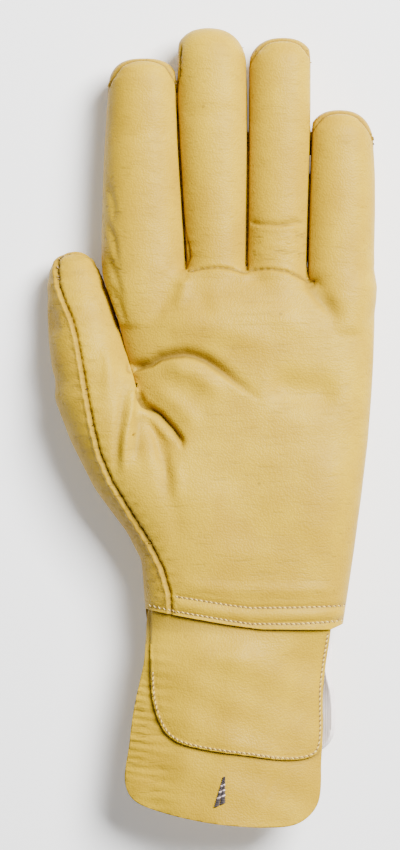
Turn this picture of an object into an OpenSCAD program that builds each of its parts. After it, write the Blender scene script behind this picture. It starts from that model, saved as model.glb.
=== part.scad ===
// Leather over-glove of a pair of electrical insulating gloves, left hand.
// It lies on its back: +X is the little-finger side, +Y the fingertips, +Z the palm side.
// Each leather panel, thread row and elastic is its own solid; fingers and thumb are cut at their hinges.

/* [Leather] */
// Thickness of the grain leather
leather = 1.3; // [1.0:0.1:1.6]
// Thickness of the white cuff lining
lining = 0.8; // [0.5:0.1:1.2]
// Diameter of the sewing thread
thread_d = 0.6; // [0.4:0.1:0.9]

/* [Hand] */
// Y of the crotches between index, middle and ring fingers
crotch_y = 57; // [56:0.5:58]
// Y of the crotch between ring and little finger
little_crotch_y = 52; // [51:0.5:53]
// Y of the hem where the palm ends at the wrist
hem_y = -71; // [-72:0.5:-70]
// Width of the strips sewn along the sides of the fingers
strip_w = 7; // [5:0.5:8]

/* [Cuff] */
// Y of the lowest edge of the artery flap
flap_end_y = -143.5; // [-145:0.5:-142]
// Length of the back cuff below the hem
cuff_length = 47; // [42:1:50]
// Radius of the arch that the flap follows across the wrist
arch_r = 70; // [60:1:90]
// Radius of the round end of the keyhole buttonhole
eyelet_r = 1.6; // [1.2:0.1:2.0]

/* [Hinges] */
// Clearance between two panels at a bending line
gap = 0.4; // [0.3:0.1:0.6]

/* [Hidden] */
$fn = 48;
BIG = 400;
STRAW = [0.86, 0.76, 0.52];
STRAW_BACK = [0.78, 0.68, 0.46];
CREAM = [0.93, 0.89, 0.85];
YELLOW = [0.90, 0.80, 0.45];
BROWN = [0.27, 0.21, 0.20];

finger_z = 13.3; // height of the finger axes, and of the seams along the sides of the hand
fit = 0.1;       // clearance between pieces sewn to each other

// Fingers: name, centre X, crotch Y, tip Y, radius at the crotch, radius at the tip,
// distance from crotch to knuckle hinge, strips as [side, neighbour], -1 being the thumb side
FINGERS = [
    ["index", -26.1, crotch_y, 132.5, 13.2, 11.7, 26, [[1, "middle"]]],
    ["middle", 0.2, crotch_y, 143.5, 11.2, 12.0, 28, [[-1, "index"], [1, "ring"]]],
    ["ring", 24.0, crotch_y, 140.0, 11.0, 11.1, 25, [[-1, "middle"], [1, "little"]]],
    ["little", 47.3, little_crotch_y, 114.0, 11.6, 10.9, 20, [[-1, "ring"]]]
];
SEGMENTS = ["lower", "upper"];

// Sections of the palm from wrist to fingers: Y, left X, right X, height
PALM = [
    [hem_y, -23.6, 47.4, 32], [-45, -25.0, 51.2, 34], [-20, -27.0, 54.5, 34],
    [13, -28.3, 57.6, 32], [24, -29.9, 58.2, 31], [38, -32.8, 58.8, 29.5],
    [little_crotch_y, -37.6, 59.2, 27.4], [crotch_y, -39.3, 59.3, 2 * finger_z]
];
little_side_x = 35.3; // X where the lower crotch of the little finger starts

// Centre line of the thumb: X, Y, Z, radius
THUMB = [
    [-12, -42, 16.5, 15.0], [-28, -22, 16.2, 15.0], [-39, 5, 15.6, 15.0],
    [-45, 24, 14.6, 14.0], [-47.2, 38, 13.6, 12.2], [-50, 54, 11.5, 9.5]
];

// Seam from the wrist over the ball of the thumb to its tip, seen from the palm side
THUMB_SEAM = [
    [-15, -90], [-15, -60], [-22, -42], [-29, -31], [-36, -19], [-42, -1],
    [-46, 20], [-48, 32], [-51, 40], [-54, 48], [-55.5, 56], [-55.5, 80]
];

// Line where the thumb parts from the palm
THUMB_ROOT = [
    [-27.2, -60], [-27.2, 13], [-30.7, 24], [-34.3, 38], [-36.8, 45], [-39.2, 52], [-40.5, 60], [-40.5, 80]
];
thumb_bend = [-46.9, 36]; // point on the line across the thumb's own knuckle
thumb_lean = 9.8;       // lean of the thumb away from +Y, in degrees

flap_x = 4;    // X of the crown of the flap's arch
flap_top = 31; // height of the flap's crown
patch_t = 1.1;
patch_end_y = -113.5; // Y of the stitches along the patch's lower edge
slit_w = 0.9;
slit_l = 8;           // length of the buttonhole's slit above its round end
eyelet_y = flap_end_y + 9.5;
border = 1.3;         // width of the thread around the buttonhole
cuff_r = 16;          // radius of the cuff's round sides
cuff_stitch_in = 3;   // distance of the cuff's stitches from its end

elastic_t = 0.9;
elastic_w = 8;
elastic_x = [-6, 32]; // ends of the elastic tape
elastic_y = -66;

stitch_l = 2.3;
stitch_pitch = 3.2;
stitch_x = [-5, 30];  // ends of the rows of stitches across the wrist

reach = 20;           // half size of a box that takes in a whole finger

function strip_name(f, segment, side) = str(f[0], "_", side[1], "_strip_", segment);

// ---- Hand: palm and thumb as one hollow form, cut into panels ----

// Skins rings of the same number of points into one closed solid
module loft(rings) {
    n = len(rings[0]);
    last = len(rings) - 1;
    sides = [
        for (i = [0 : last - 1], k = [0 : n - 1])
            let (a = i * n + k, b = i * n + (k + 1) % n)
                each [[a, b, b + n], [a, b + n, a + n]]
    ];
    ends = [[for (k = [n - 1 : -1 : 0]) k], [for (k = [0 : n - 1]) last * n + k]];
    polyhedron([for (r = rings) each r], concat(sides, ends));
}

// Section of the palm with round sides and flat faces, shrunk by inset
function palm_ring(s, inset) =
    let (r = s[3] / 2 - inset, steps = 12)
        [for (end = [1, -1], k = [0 : steps])
            let (a = -90 + 180 * k / steps, x = end > 0 ? s[2] - s[3] / 2 : s[1] + s[3] / 2)
                [x + end * r * cos(a), s[0], s[3] / 2 + end * r * sin(a)]];

module palm_form(inset, past) {
    first = PALM[0];
    last = PALM[len(PALM) - 1];
    ends = [palm_ring(first + [-past, 0, 0, 0], inset), palm_ring(last + [past, 0, 0, 0], inset)];
    middle = [for (i = [1 : len(PALM) - 2]) palm_ring(PALM[i], inset)];
    loft(concat([ends[0]], middle, [ends[1]]));
}

// Upright circle around p, square to the level direction d
function thumb_ring(p, d, r) =
    let (u = [d[0], d[1]] / norm([d[0], d[1]]))
        [for (a = [0 : 15 : 345]) [p[0] + r * cos(a) * u[1], p[1] - r * cos(a) * u[0], p[2] + r * sin(a)]];

module thumb_form(inset) {
    last = len(THUMB) - 1;
    tip = THUMB[last];
    along = tip - THUMB[last - 1];
    unit = [along[0], along[1], 0] / norm([along[0], along[1]]);
    body = [
        for (i = [0 : last])
            thumb_ring(THUMB[i], THUMB[min(i + 1, last)] - THUMB[max(i - 1, 0)], THUMB[i][3] - inset)
    ];
    r = tip[3] - inset;
    cap = [
        for (a = [15 : 15 : 75])
            thumb_ring([tip[0], tip[1], tip[2]] + unit * r * sin(a), unit, r * cos(a))
    ];
    loft(concat(body, cap));
}

// Skin of palm and thumb, open at the wrist and where the fingers start
module hand_skin() {
    difference() {
        union() {
            palm_form(0, 0);
            thumb_form(0);
        }
        palm_form(leather, fit);
        thumb_form(leather);
        translate([little_side_x, little_crotch_y, -1]) cube(BIG);
    }
}

// Everything on the palm's side of the side seams and of the thumb's seam
module palm_side() {
    translate([0, 0, finger_z])
        linear_extrude(BIG)
            polygon(concat(THUMB_SEAM, [[BIG, 80], [BIG, -90]]));
}

// Everything on the thumb's side of its root, moved outwards by clear
module thumb_side(clear) {
    translate([-clear, 0, -1])
        linear_extrude(BIG)
            polygon(concat(THUMB_ROOT, [[-BIG, 80], [-BIG, -60]]));
}

// Half space past the line across the thumb's knuckle, moved along the thumb by shift
module past_thumb_bend(shift) {
    translate([thumb_bend[0], thumb_bend[1], 0])
        rotate([0, 0, thumb_lean])
            translate([-BIG / 2, shift, -BIG / 2]) cube(BIG);
}

module palm_skin() {
    difference() {
        hand_skin();
        thumb_side(-gap / 2);
    }
}

module thumb_skin(segment) {
    if (segment == "upper")
        intersection() {
            hand_skin();
            thumb_side(gap / 2);
            past_thumb_bend(gap / 2);
        }
    else
        difference() {
            intersection() {
                hand_skin();
                thumb_side(gap / 2);
            }
            past_thumb_bend(-gap / 2);
        }
}

module palm_panel() {
    color(STRAW)
        intersection() {
            palm_skin();
            palm_side();
        }
}

module back_panel() {
    color(STRAW_BACK)
        difference() {
            palm_skin();
            palm_side();
        }
}

module thumb_front(segment) {
    color(STRAW)
        intersection() {
            thumb_skin(segment);
            palm_side();
        }
}

module thumb_back(segment) {
    color(STRAW_BACK)
        difference() {
            thumb_skin(segment);
            palm_side();
        }
}

// Leather between the roots of fingers a and b, closing the palm's end inside its skin
module crotch(a, b) {
    y = min(a[2], b[2]) - leather;
    bottom = leather + fit;
    left = a[1] + a[4] * 0.6;
    right = b[1] - b[4] * 0.6;
    color(STRAW)
        difference() {
            union() {
                translate([left, y, bottom])
                    cube([right - left, leather, 2 * (finger_z - bottom)]);
                if (a[2] > b[2])
                    translate([little_side_x - leather, y, bottom])
                        cube([leather, a[2] - y, 2 * (finger_z - bottom)]);
            }
            for (f = [a, b])
                translate([f[1], y - 1, finger_z])
                    rotate([-90, 0, 0])
                        cylinder(r = f[4] - leather, h = reach);
        }
}

// ---- Fingers ----

module finger_form(f, inset) {
    length = f[3] - f[5] - f[2];
    translate([f[1], f[2], finger_z])
        rotate([-90, 0, 0])
            rotate_extrude(start = 45)
                intersection() {
                    union() {
                        polygon([[0, 0], [f[4] - inset, 0], [f[5] - inset, length], [0, length]]);
                        translate([0, length]) circle(f[5] - inset);
                    }
                    square([reach, length + reach]);
                }
}

// One finger's skin between two hinge planes
module finger_skin(f, segment) {
    knuckle = f[2] + f[6];
    y0 = segment == "lower" ? f[2] + gap : knuckle + gap / 2;
    y1 = segment == "lower" ? knuckle - gap / 2 : f[3] + 1;
    intersection() {
        difference() {
            finger_form(f, 0);
            finger_form(f, leather);
        }
        translate([f[1] - reach, y0, finger_z - reach]) cube([2 * reach, y1 - y0, 2 * reach]);
    }
}

// Band along one side of a finger, -1 for the thumb side and 1 for the little side
module strip_zone(f, side) {
    translate([f[1] + (side < 0 ? -reach : 0), f[2], finger_z - strip_w / 2])
        cube([reach, f[3] - f[2] + 1, strip_w]);
}

// Half of the space around a finger, above or below the side seams
module half(f, way) {
    translate([f[1] - reach, f[2], finger_z + (way == "above" ? 0 : -reach)])
        cube([2 * reach, f[3] - f[2] + 1, reach]);
}

module finger_panel(f, segment, other_half) {
    difference() {
        finger_skin(f, segment);
        half(f, other_half);
        for (side = f[7]) strip_zone(f, side[0]);
    }
}

module finger_strip(f, segment, side) {
    color(STRAW)
        intersection() {
            finger_skin(f, segment);
            strip_zone(f, side[0]);
        }
}

module finger_front(f, segment) {
    color(STRAW) finger_panel(f, segment, "below");
}

module finger_back(f, segment) {
    color(STRAW_BACK) finger_panel(f, segment, "above");
}

// ---- Wrist and back cuff ----

// Height of the top of the wrist between the first two sections of the palm
function wrist_h(y) = PALM[0][3] + (PALM[1][3] - PALM[0][3]) * (y - PALM[0][0]) / (PALM[1][0] - PALM[0][0]);

module stitch() {
    rotate([0, 90, 0]) cylinder(d = thread_d, h = stitch_l, center = true, $fn = 16);
}

// Row of stitches along X at y, with its centre line at height z
module stitch_row(y, z) {
    color(YELLOW)
        for (x = [stitch_x[0] : stitch_pitch : stitch_x[1]])
            translate([x, y, z]) stitch();
}

module hem_row(y) {
    stitch_row(y, wrist_h(y) + thread_d / 2 + fit);
}

module wrist_elastic() {
    color(CREAM)
        translate([elastic_x[0], elastic_y, leather + fit])
            cube([elastic_x[1] - elastic_x[0], elastic_w, elastic_t]);
}

module elastic_stitches() {
    stitch_row(elastic_y + elastic_w / 2, leather + elastic_t + thread_d / 2 + 2 * fit);
}

// Solid form of the cuff, shrunk by inset and reaching past both ends
module cuff_form(inset, past) {
    sections = [[hem_y - gap + past, -23.6, 47.4], [hem_y - cuff_length - past, -25.5, 47.9]];
    hull()
        for (s = sections, x = [s[1] + cuff_r, s[2] - cuff_r])
            translate([x, s[0], cuff_r])
                rotate([90, 0, 0]) cylinder(r = cuff_r - inset, h = 0.01, $fn = 32);
}

// Open trough around the back of the wrist, between two insets
module cuff_trough(outer, inner) {
    intersection() {
        difference() {
            cuff_form(outer, 0);
            cuff_form(inner, 1);
        }
        translate([-BIG / 2, -BIG / 2, -1]) cube([BIG, BIG, cuff_r + 1]);
    }
}

module back_cuff() {
    color(STRAW_BACK) cuff_trough(0, leather);
}

module cuff_lining() {
    color(CREAM) cuff_trough(leather + fit, leather + fit + lining);
}

module cuff_stitches() {
    stitch_row(hem_y - cuff_length + cuff_stitch_in, leather + lining + thread_d / 2 + 2 * fit);
}

// ---- Artery flap ----

// Arched sheet of thickness t, with its upper face higher than the flap's by rise
module arched_sheet(rise, t) {
    length = hem_y - flap_end_y + 10;
    translate([flap_x, flap_end_y - 5, flap_top - arch_r])
        rotate([-90, 0, 0])
            difference() {
                cylinder(r = arch_r + rise, h = length, $fn = 96);
                translate([0, 0, -1]) cylinder(r = arch_r + rise - t, h = length + 2, $fn = 96);
            }
}

// Outline of a sheet sewn under the hem, with two round lower corners
module tab_outline(left, right, corners) {
    top = hem_y - gap;
    hull() {
        for (c = corners)
            translate([c[0], c[1]]) circle(c[2]);
        translate([left, top - 1]) square([right - left, 1]);
    }
}

// Keyhole: a round end with a slit above it, grown by edge
module keyhole(edge) {
    translate([flap_x, eyelet_y, 0]) cylinder(r = eyelet_r + edge, h = 2 * flap_top);
    translate([flap_x - slit_w / 2 - edge, eyelet_y, 0])
        cube([slit_w + 2 * edge, slit_l + eyelet_r + edge, 2 * flap_top]);
}

module artery_flap() {
    color(STRAW)
        difference() {
            intersection() {
                arched_sheet(0, leather);
                linear_extrude(BIG)
                    tab_outline(-23.6, 43, [[-21.7, flap_end_y + 17, 9.5], [25.5, flap_end_y + 14, 14]]);
            }
            keyhole(0);
        }
}

module flap_patch() {
    color(STRAW)
        intersection() {
            arched_sheet(patch_t + fit, patch_t);
            linear_extrude(BIG)
                tab_outline(-21.8, 41.5, [[-8.5, -102.5, 13], [32, -110.5, 7]]);
        }
}

// Height of the arch at x, for a surface higher than the flap's by rise
function arch_z(x, rise) = flap_top - arch_r + sqrt(pow(arch_r + rise, 2) - pow(x - flap_x, 2));

module patch_stitches() {
    rise = patch_t + thread_d / 2 + 2 * fit;
    color(YELLOW)
        for (x = [stitch_x[0] : stitch_pitch : stitch_x[1]])
            translate([x, patch_end_y, arch_z(x, rise)])
                rotate([0, asin((x - flap_x) / arch_r), 0]) stitch();
}

module buttonhole_thread() {
    color(BROWN)
        intersection() {
            difference() {
                keyhole(border);
                keyhole(fit);
            }
            translate([-BIG / 2, -BIG / 2, flap_top + fit]) cube([BIG, BIG, thread_d]);
        }
}

// ---- Assembly ----

palm_panel();
back_panel();
crotch(FINGERS[0], FINGERS[1]);  // index_middle_crotch
crotch(FINGERS[1], FINGERS[2]);  // middle_ring_crotch
crotch(FINGERS[2], FINGERS[3]);  // ring_little_crotch
hem_row(-63);  // hem_stitches_upper
hem_row(-68.5);  // hem_stitches_lower
wrist_elastic();
elastic_stitches();
back_cuff();
cuff_lining();
cuff_stitches();
for (f = FINGERS, s = SEGMENTS) {
    finger_front(f, s);
    finger_back(f, s);
    for (side = f[7])
        finger_strip(f, s, side);
}
for (s = SEGMENTS) {
    thumb_front(s);
    thumb_back(s);
}
artery_flap();
flap_patch();
patch_stitches();
buttonhole_thread();
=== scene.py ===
import math
import bmesh
import bpy
import numpy as np
from mathutils import Matrix, Vector
from mathutils.bvhtree import BVHTree


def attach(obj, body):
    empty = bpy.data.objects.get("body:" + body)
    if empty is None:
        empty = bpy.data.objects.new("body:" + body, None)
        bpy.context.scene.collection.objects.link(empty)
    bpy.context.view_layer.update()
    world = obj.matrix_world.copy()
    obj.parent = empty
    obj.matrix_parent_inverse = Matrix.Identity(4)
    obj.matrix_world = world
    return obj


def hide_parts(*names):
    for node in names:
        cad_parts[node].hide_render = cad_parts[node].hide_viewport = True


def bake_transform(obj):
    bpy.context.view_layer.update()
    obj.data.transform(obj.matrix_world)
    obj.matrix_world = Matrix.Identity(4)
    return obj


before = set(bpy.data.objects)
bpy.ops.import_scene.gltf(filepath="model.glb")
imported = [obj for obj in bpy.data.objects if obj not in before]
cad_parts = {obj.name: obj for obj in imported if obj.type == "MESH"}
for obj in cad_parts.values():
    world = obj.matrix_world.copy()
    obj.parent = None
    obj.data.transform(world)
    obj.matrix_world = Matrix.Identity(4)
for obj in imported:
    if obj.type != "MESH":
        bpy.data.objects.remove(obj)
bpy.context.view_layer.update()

mm = 0.001


# ---- camera, floor and light ----

shot = {
    "middle": (-4.1, 0.4), "height": 1600, "frameTall": 306, "sharpAt": 16, "sensor": 24,     # mm
    "lamps": {"keyLight": ((0.65, 0.6, 1.15), 0.7, 84), "fillLight": ((-1.1, -0.3, 0.9), 1.6, 1)},
    "sky": 0.2, "floorHalf": 3, "floorDrop": 0.3, "floorPaint": (0.97, 0.97, 0.97, 1), "floorGlow": 0.2,
}


def meshObject(name, bm):
    mesh = bpy.data.meshes.new(name)
    bm.to_mesh(mesh)
    bm.free()
    obj = bpy.data.objects.new(name, mesh)
    bpy.context.collection.objects.link(obj)
    return obj


def setInputs(node, values):
    for key, value in values.items():
        node.inputs[key].default_value = value
    return node


def newMaterial(name):
    material = bpy.data.materials.new(name)
    material.use_nodes = True
    tree = material.node_tree
    return material, tree, tree.nodes["Principled BSDF"]


def setStage():
    x, y = shot["middle"]
    camera = bpy.data.objects.new("camera", bpy.data.cameras.new("camera"))
    camera.location = (x * mm, y * mm, shot["height"] * mm)
    camera.data.sensor_fit = "VERTICAL"
    camera.data.sensor_height = shot["sensor"]
    camera.data.lens = shot["sensor"] * (shot["height"] - shot["sharpAt"]) / shot["frameTall"]
    camera.data.clip_start = 0.01
    bpy.context.collection.objects.link(camera)
    bpy.context.scene.camera = camera
    for name, (place, size, power) in shot["lamps"].items():
        lamp = bpy.data.lights.new(name, "AREA")
        lamp.size = size
        lamp.energy = power
        light = bpy.data.objects.new(name, lamp)
        light.location = place
        light.rotation_euler = (-Vector(place)).to_track_quat("-Z", "Y").to_euler()
        bpy.context.collection.objects.link(light)
    world = bpy.data.worlds.new("studio")
    world.use_nodes = True
    setInputs(world.node_tree.nodes["Background"], {"Color": (1, 1, 1, 1), "Strength": shot["sky"]})
    bpy.context.scene.world = world
    bm = bmesh.new()
    bmesh.ops.create_grid(bm, x_segments=2, y_segments=2, size=shot["floorHalf"])
    bmesh.ops.translate(bm, vec=(0, 0, -shot["floorDrop"] * mm), verts=bm.verts[:])
    floor = meshObject("floor", bm)
    paint, tree, shader = newMaterial("paleFloor")
    setInputs(shader, {"Base Color": shot["floorPaint"], "Roughness": 0.8, "Emission Color": (1, 1, 1, 1),
                       "Emission Strength": shot["floorGlow"]})
    floor.data.materials.append(paint)


setStage()
print("stage set")


# ---- the filled form of the hand, before it is cut into panels ----
# Rows are y, left, right, bottom, top in mm. The fingers stand apart while the skin is made, then close up.

fingers = {
    "index": {
        "rows": [(36, -35, -11, 3, 26), (50, -38.6, -9.6, 1.4, 27), (58, -39.2, -9.0, 1.0, 26.6),
                 (66, -39.2, -9.4, 1.0, 26.0), (84, -38.8, -10.7, 1.3, 25.4),
                 (99, -38.2, -11.8, 1.7, 25.2), (112, -37.4, -12.2, 2.2, 24.6),
                 (120, -36.9, -12.9, 2.8, 24.2)],
        "tip": (-24.6, 132.5), "square": 2.7, "apart": -4.5, "crotch": 57.0, "knuckle": 26,
        "seamSides": (False, True),
    },
    "middle": {
        "rows": [(36, -10, 12, 4, 27), (50, -9.0, 12.6, 3.0, 27), (58, -9.2, 12.5, 2.4, 25.4),
                 (66, -9.6, 12.7, 2.0, 25.0), (84, -10.9, 12.9, 1.8, 25.0), (99, -11.7, 13.1, 1.7, 25.2),
                 (116, -12.3, 12.9, 1.8, 25.0), (130, -12.4, 12.0, 2.4, 24.4)],
        "tip": (-1.2, 143.5), "square": 2.3, "apart": -1.5, "crotch": 57.0, "knuckle": 28,
        "seamSides": (True, True),
    },
    "ring": {
        "rows": [(36, 13, 34, 4, 27), (50, 12.8, 34.4, 3.0, 27), (58, 12.7, 34.7, 2.4, 25.0),
                 (66, 12.9, 35.0, 2.2, 24.6), (84, 13.1, 35.6, 2.0, 24.4), (99, 13.3, 35.9, 2.0, 24.4),
                 (116, 13.5, 36.4, 2.2, 24.2), (128, 13.7, 36.4, 2.6, 23.8)],
        "tip": (25.8, 140.0), "square": 2.3, "apart": 1.5, "crotch": 57.0, "knuckle": 25,
        "seamSides": (True, True),
    },
    "little": {
        "rows": [(34, 36, 57, 3, 27), (46, 35.6, 58.8, 2.0, 27), (54, 34.6, 58.6, 1.7, 26),
                 (62, 34.2, 58.3, 1.7, 25.2), (76, 34.7, 58.6, 1.9, 24.9), (90, 35.25, 58.6, 2.2, 24.6),
                 (102, 35.9, 58.0, 2.6, 24.0)],
        "tip": (46.4, 114.0), "square": 2.25, "apart": 5.2, "crotch": 52.0, "knuckle": 20,
        "seamSides": (True, False),
    },
}
palm = {
    "rows": [(-78, -23.2, 46.8, 0.3, 32), (-71, -23.4, 47.4, 0.2, 32), (-58, -24.4, 49.4, 0.0, 32.6),
             (-45, -25.4, 51.3, 0.0, 33.4), (-25, -27.0, 54.0, 0.0, 33.4), (-5, -28.2, 56.4, 0.0, 32.2),
             (13, -28.4, 57.8, 0.0, 31.2), (24, -30.8, 58.4, 0.0, 30.6), (38, -34.2, 58.9, 0.0, 29.4),
             (49, -37.8, 58.6, 0.6, 27.6), (52, -38.3, 34, 1.0, 26.8), (56, -38.4, 33, 1.6, 25.8)],
    "square": 2.9, "squareAtFingers": 2.25, "apartFrom": 49, "apartTo": 57.5,
}
thumb = {
    "path": [(-8, -48, 16.3, 15), (-17, -30, 16.6, 15.3), (-28, -14, 16.6, 16), (-36, 2, 16.4, 16),
             (-41.6, 14, 15.6, 15.0), (-45.4, 24, 14.8, 13.7), (-47.5, 34, 14, 12.7),
             (-49.2, 44, 12.8, 11.4), (-51.2, 54, 11.4, 9.1)],
    "apart": 4.4, "close": 1.36, "apartFrom": 8, "apartTo": 18, "square": 2.1, "flat": 0.97,
    "clearOf": 70,
    # the edge is where it leans on the palm
    "edge": [(-27.2, 13), (-30.7, 24), (-34.3, 38), (-36.8, 45), (-39.4, 52), (-41.5, 60)],
}
skin = {"voxel": 0.95, "smooth": 14, "grow": 0.85, "fingerSquare": 2.15, "sides": 32, "blendLow": 46.5,
        "blendHigh": 61, "blendRounds": 22, "soft": 0.8, "press": 1.06,
        "between": [(-9.4, -10.6, -11.8, -12.6), (12.7, 13.0, 13.2, 13.2), (34.8, 35.3, 36.0, 36.2)]}


def smoothStep(low, high, value):
    t = np.clip((value - low) / (high - low), 0, 1)
    return t * t * (3 - 2 * t)


def waves(value, pitch, shift=0.0):
    return np.sin(2 * math.pi * value / pitch + shift)


def hump(distance, width):
    return np.exp(-(distance / width) ** 2)


def ringOf(bm, middle, half, square, sides, along=(0, 1)):
    ring = bmesh.ops.create_circle(bm, segments=sides, radius=1)["verts"]
    for v in ring:                               # a circle squared up, then stood across its direction
        c, s = v.co.x, v.co.y
        across = math.copysign(abs(c) ** (2 / square), c) * half[0]
        up = math.copysign(abs(s) ** (2 / square), s) * half[1]
        v.co = Vector((middle[0] + across * along[1], middle[1] - across * along[0], middle[2] + up)) * mm
    return ring


def bridgeRings(bm, rings):
    for first, second in zip(rings, rings[1:]):
        both = first + second
        edges = {e for v in both for e in v.link_edges if e.other_vert(v) in both}
        loops = [e for e in edges if (e.verts[0] in first) == (e.verts[1] in first)]
        bmesh.ops.bridge_loops(bm, edges=loops)
    for ring in (rings[0], rings[-1]):
        bmesh.ops.contextual_create(bm, geom=ring)


def fineRows(rows, step=2.0):
    table = np.array(rows, float)
    ys = np.unique(np.concatenate([table[:, 0], np.arange(table[0, 0], table[-1, 0], step)]))
    return [(y, *[np.interp(y, table[:, 0], table[:, k]) for k in range(1, table.shape[1])]) for y in ys]


def fingerSolid(bm, f):
    rings = []
    y, left, right, low, high = f["rows"][-1]
    tipX, tipY = f["tip"]
    middle, cz = (left + right) / 2, (low + high) / 2
    dome = []
    for k in range(1, 9):                        # the tip's rows shrink along a squared-up quarter circle
        t = math.sin(math.pi / 2 * k / 8.4)
        s = (1 - t ** f["square"]) ** (1 / f["square"])
        cx, wide, tall = middle + (tipX - middle) * t, (right - left) / 2 * s, (high - low) / 2 * s
        dome.append((y + (tipY - y) * t, cx - wide, cx + wide, cz - tall, cz + tall))
    for y, left, right, low, high in fineRows(f["rows"]) + dome:
        shift = f["apart"] * float(smoothStep(palm["apartFrom"], palm["apartTo"], y))
        half = ((right - left) / 2 + skin["grow"], (high - low) / 2 + skin["grow"])
        at = ((left + right) / 2 + shift, y, (low + high) / 2)
        rings.append(ringOf(bm, at, half, skin["fingerSquare"], skin["sides"]))
    bridgeRings(bm, rings)


def palmSolid(bm):
    rings = []
    for y, left, right, low, high in fineRows(palm["rows"]):
        ramp = float(smoothStep(palm["apartFrom"], palm["apartTo"], y))
        left, right = left + fingers["index"]["apart"] * ramp, right + fingers["little"]["apart"] * ramp
        square = palm["square"] - (palm["square"] - palm["squareAtFingers"]) * float(smoothStep(30, 50, y))
        half = ((right - left) / 2, (high - low) / 2)
        rings.append(ringOf(bm, ((left + right) / 2, y, (low + high) / 2), half, square, 64))
    bridgeRings(bm, rings)


def thumbApart(y):
    own = thumb["apart"] * smoothStep(thumb["apartFrom"], thumb["apartTo"], y)
    return own, -fingers["index"]["apart"] * smoothStep(palm["apartFrom"], palm["apartTo"], y)


def thumbEdge(y):
    return np.interp(y, [p[1] for p in thumb["edge"]], [p[0] for p in thumb["edge"]])


def thumbSolid(bm):
    path = [(x, y, z, r) for y, x, z, r in fineRows([(y, x, z, r) for x, y, z, r in thumb["path"]], 3.0)]
    square, flat = thumb["square"], thumb["flat"]
    rings = []
    for i, (x, y, z, r) in enumerate(path):
        a, b = path[max(i - 2, 0)], path[min(i + 2, len(path) - 1)]
        along = Vector((b[0] - a[0], b[1] - a[1])).normalized()
        wide = r + skin["grow"] / 2
        rings.append(ringOf(bm, (x, y, z), (wide, wide * flat), square, skin["sides"], along))
    for k in range(1, 8):
        t = math.sin(math.pi / 2 * k / 7.4)
        s = (1 - t ** square) ** (1 / square)
        at = (x + along.x * r * t, y + along.y * r * t, z - 0.8 * t)
        rings.append(ringOf(bm, at, (r * s, r * 0.95 * s), square, skin["sides"], along))
    bridgeRings(bm, rings)
    for v in {v for ring in rings for v in ring}:        # leaned away from the palm until the skin is made
        v.co.x -= float(sum(thumbApart(v.co.y / mm))) * mm


def pathDistance(points, x, y):
    best = np.full(x.shape, 1e9)
    side = np.zeros(x.shape)
    where = np.zeros(x.shape)
    run = 0.0
    for (ax, ay), (bx, by) in zip(points, points[1:]):
        length = math.hypot(bx - ax, by - ay)
        t = np.clip(((x - ax) * (bx - ax) + (y - ay) * (by - ay)) / length ** 2, 0, 1)
        d = np.hypot(x - ax - t * (bx - ax), y - ay - t * (by - ay))
        s = (x - ax) * (by - ay) - (y - ay) * (bx - ax)
        nearer = d < best
        best = np.where(nearer, d, best)
        side = np.where(nearer, np.sign(s), side)
        where = np.where(nearer, run + t * length, where)
        run += length
    return best, side, where / run


def closeUp(co):
    x, y = co[:, 0] / mm, co[:, 1] / mm
    ramp = smoothStep(palm["apartFrom"], palm["apartTo"], y)
    own, withIndex = thumbApart(y)
    hand = np.full(x.shape, fingers["index"]["apart"])
    order = list(fingers.values())
    for first, second, between in zip(order, order[1:], skin["between"]):
        middle = np.interp(y, [60, 80, 100, 116], between)
        low = middle + first["apart"] * ramp - skin["soft"]
        high = middle + second["apart"] * ramp + skin["soft"]
        hand += (second["apart"] - first["apart"]) * np.clip((x - low) / (high - low), 0, 1)
    low = thumbEdge(y) - own - withIndex - skin["soft"]
    onThumb = (1 - np.clip((x - low) / (own + 2 * skin["soft"]), 0, 1)) * (y < thumb["clearOf"])
    ownShift = own * thumb["close"] + withIndex
    co[:, 0] += (ownShift * onThumb - hand * ramp * skin["press"] * (1 - onThumb)) * mm
    return co


def makeForm():
    bm = bmesh.new()
    palmSolid(bm)
    thumbSolid(bm)
    for f in fingers.values():
        fingerSolid(bm, f)
    bmesh.ops.recalc_face_normals(bm, faces=bm.faces[:])
    form = meshObject("form", bm)
    remesh = form.modifiers.new("remesh", "REMESH")
    remesh.mode = "VOXEL"
    remesh.voxel_size = skin["voxel"] * mm
    smooth = form.modifiers.new("smooth", "SMOOTH")
    smooth.factor = 0.5
    smooth.iterations = skin["smooth"]
    done = bpy.data.meshes.new_from_object(form.evaluated_get(bpy.context.evaluated_depsgraph_get()))
    form.modifiers.clear()
    bm = bmesh.new()
    bm.from_mesh(done)
    low, high = skin["blendLow"], skin["blendHigh"]
    fairing = [v for v in bm.verts if low < v.co.y / mm < high
               and not 6 < v.co.z / mm < 20]     # palm and back only
    for step in range(skin["blendRounds"]):
        bmesh.ops.smooth_vert(bm, verts=fairing, factor=0.5, use_axis_x=False, use_axis_y=False,
                              use_axis_z=True)
    bm.to_mesh(done)
    bm.free()
    form.data = done
    co = np.empty(len(done.vertices) * 3)
    done.vertices.foreach_get("co", co)
    co = co.reshape(-1, 3)
    done.attributes.new("apartX", "FLOAT", "POINT").data.foreach_set("value", co[:, 0] / mm)
    done.vertices.foreach_set("co", closeUp(co).ravel())
    print("form made", len(done.vertices))
    return form


form = makeForm()


# ---- panels: the form is cut along its seams and bending lines ----

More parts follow.
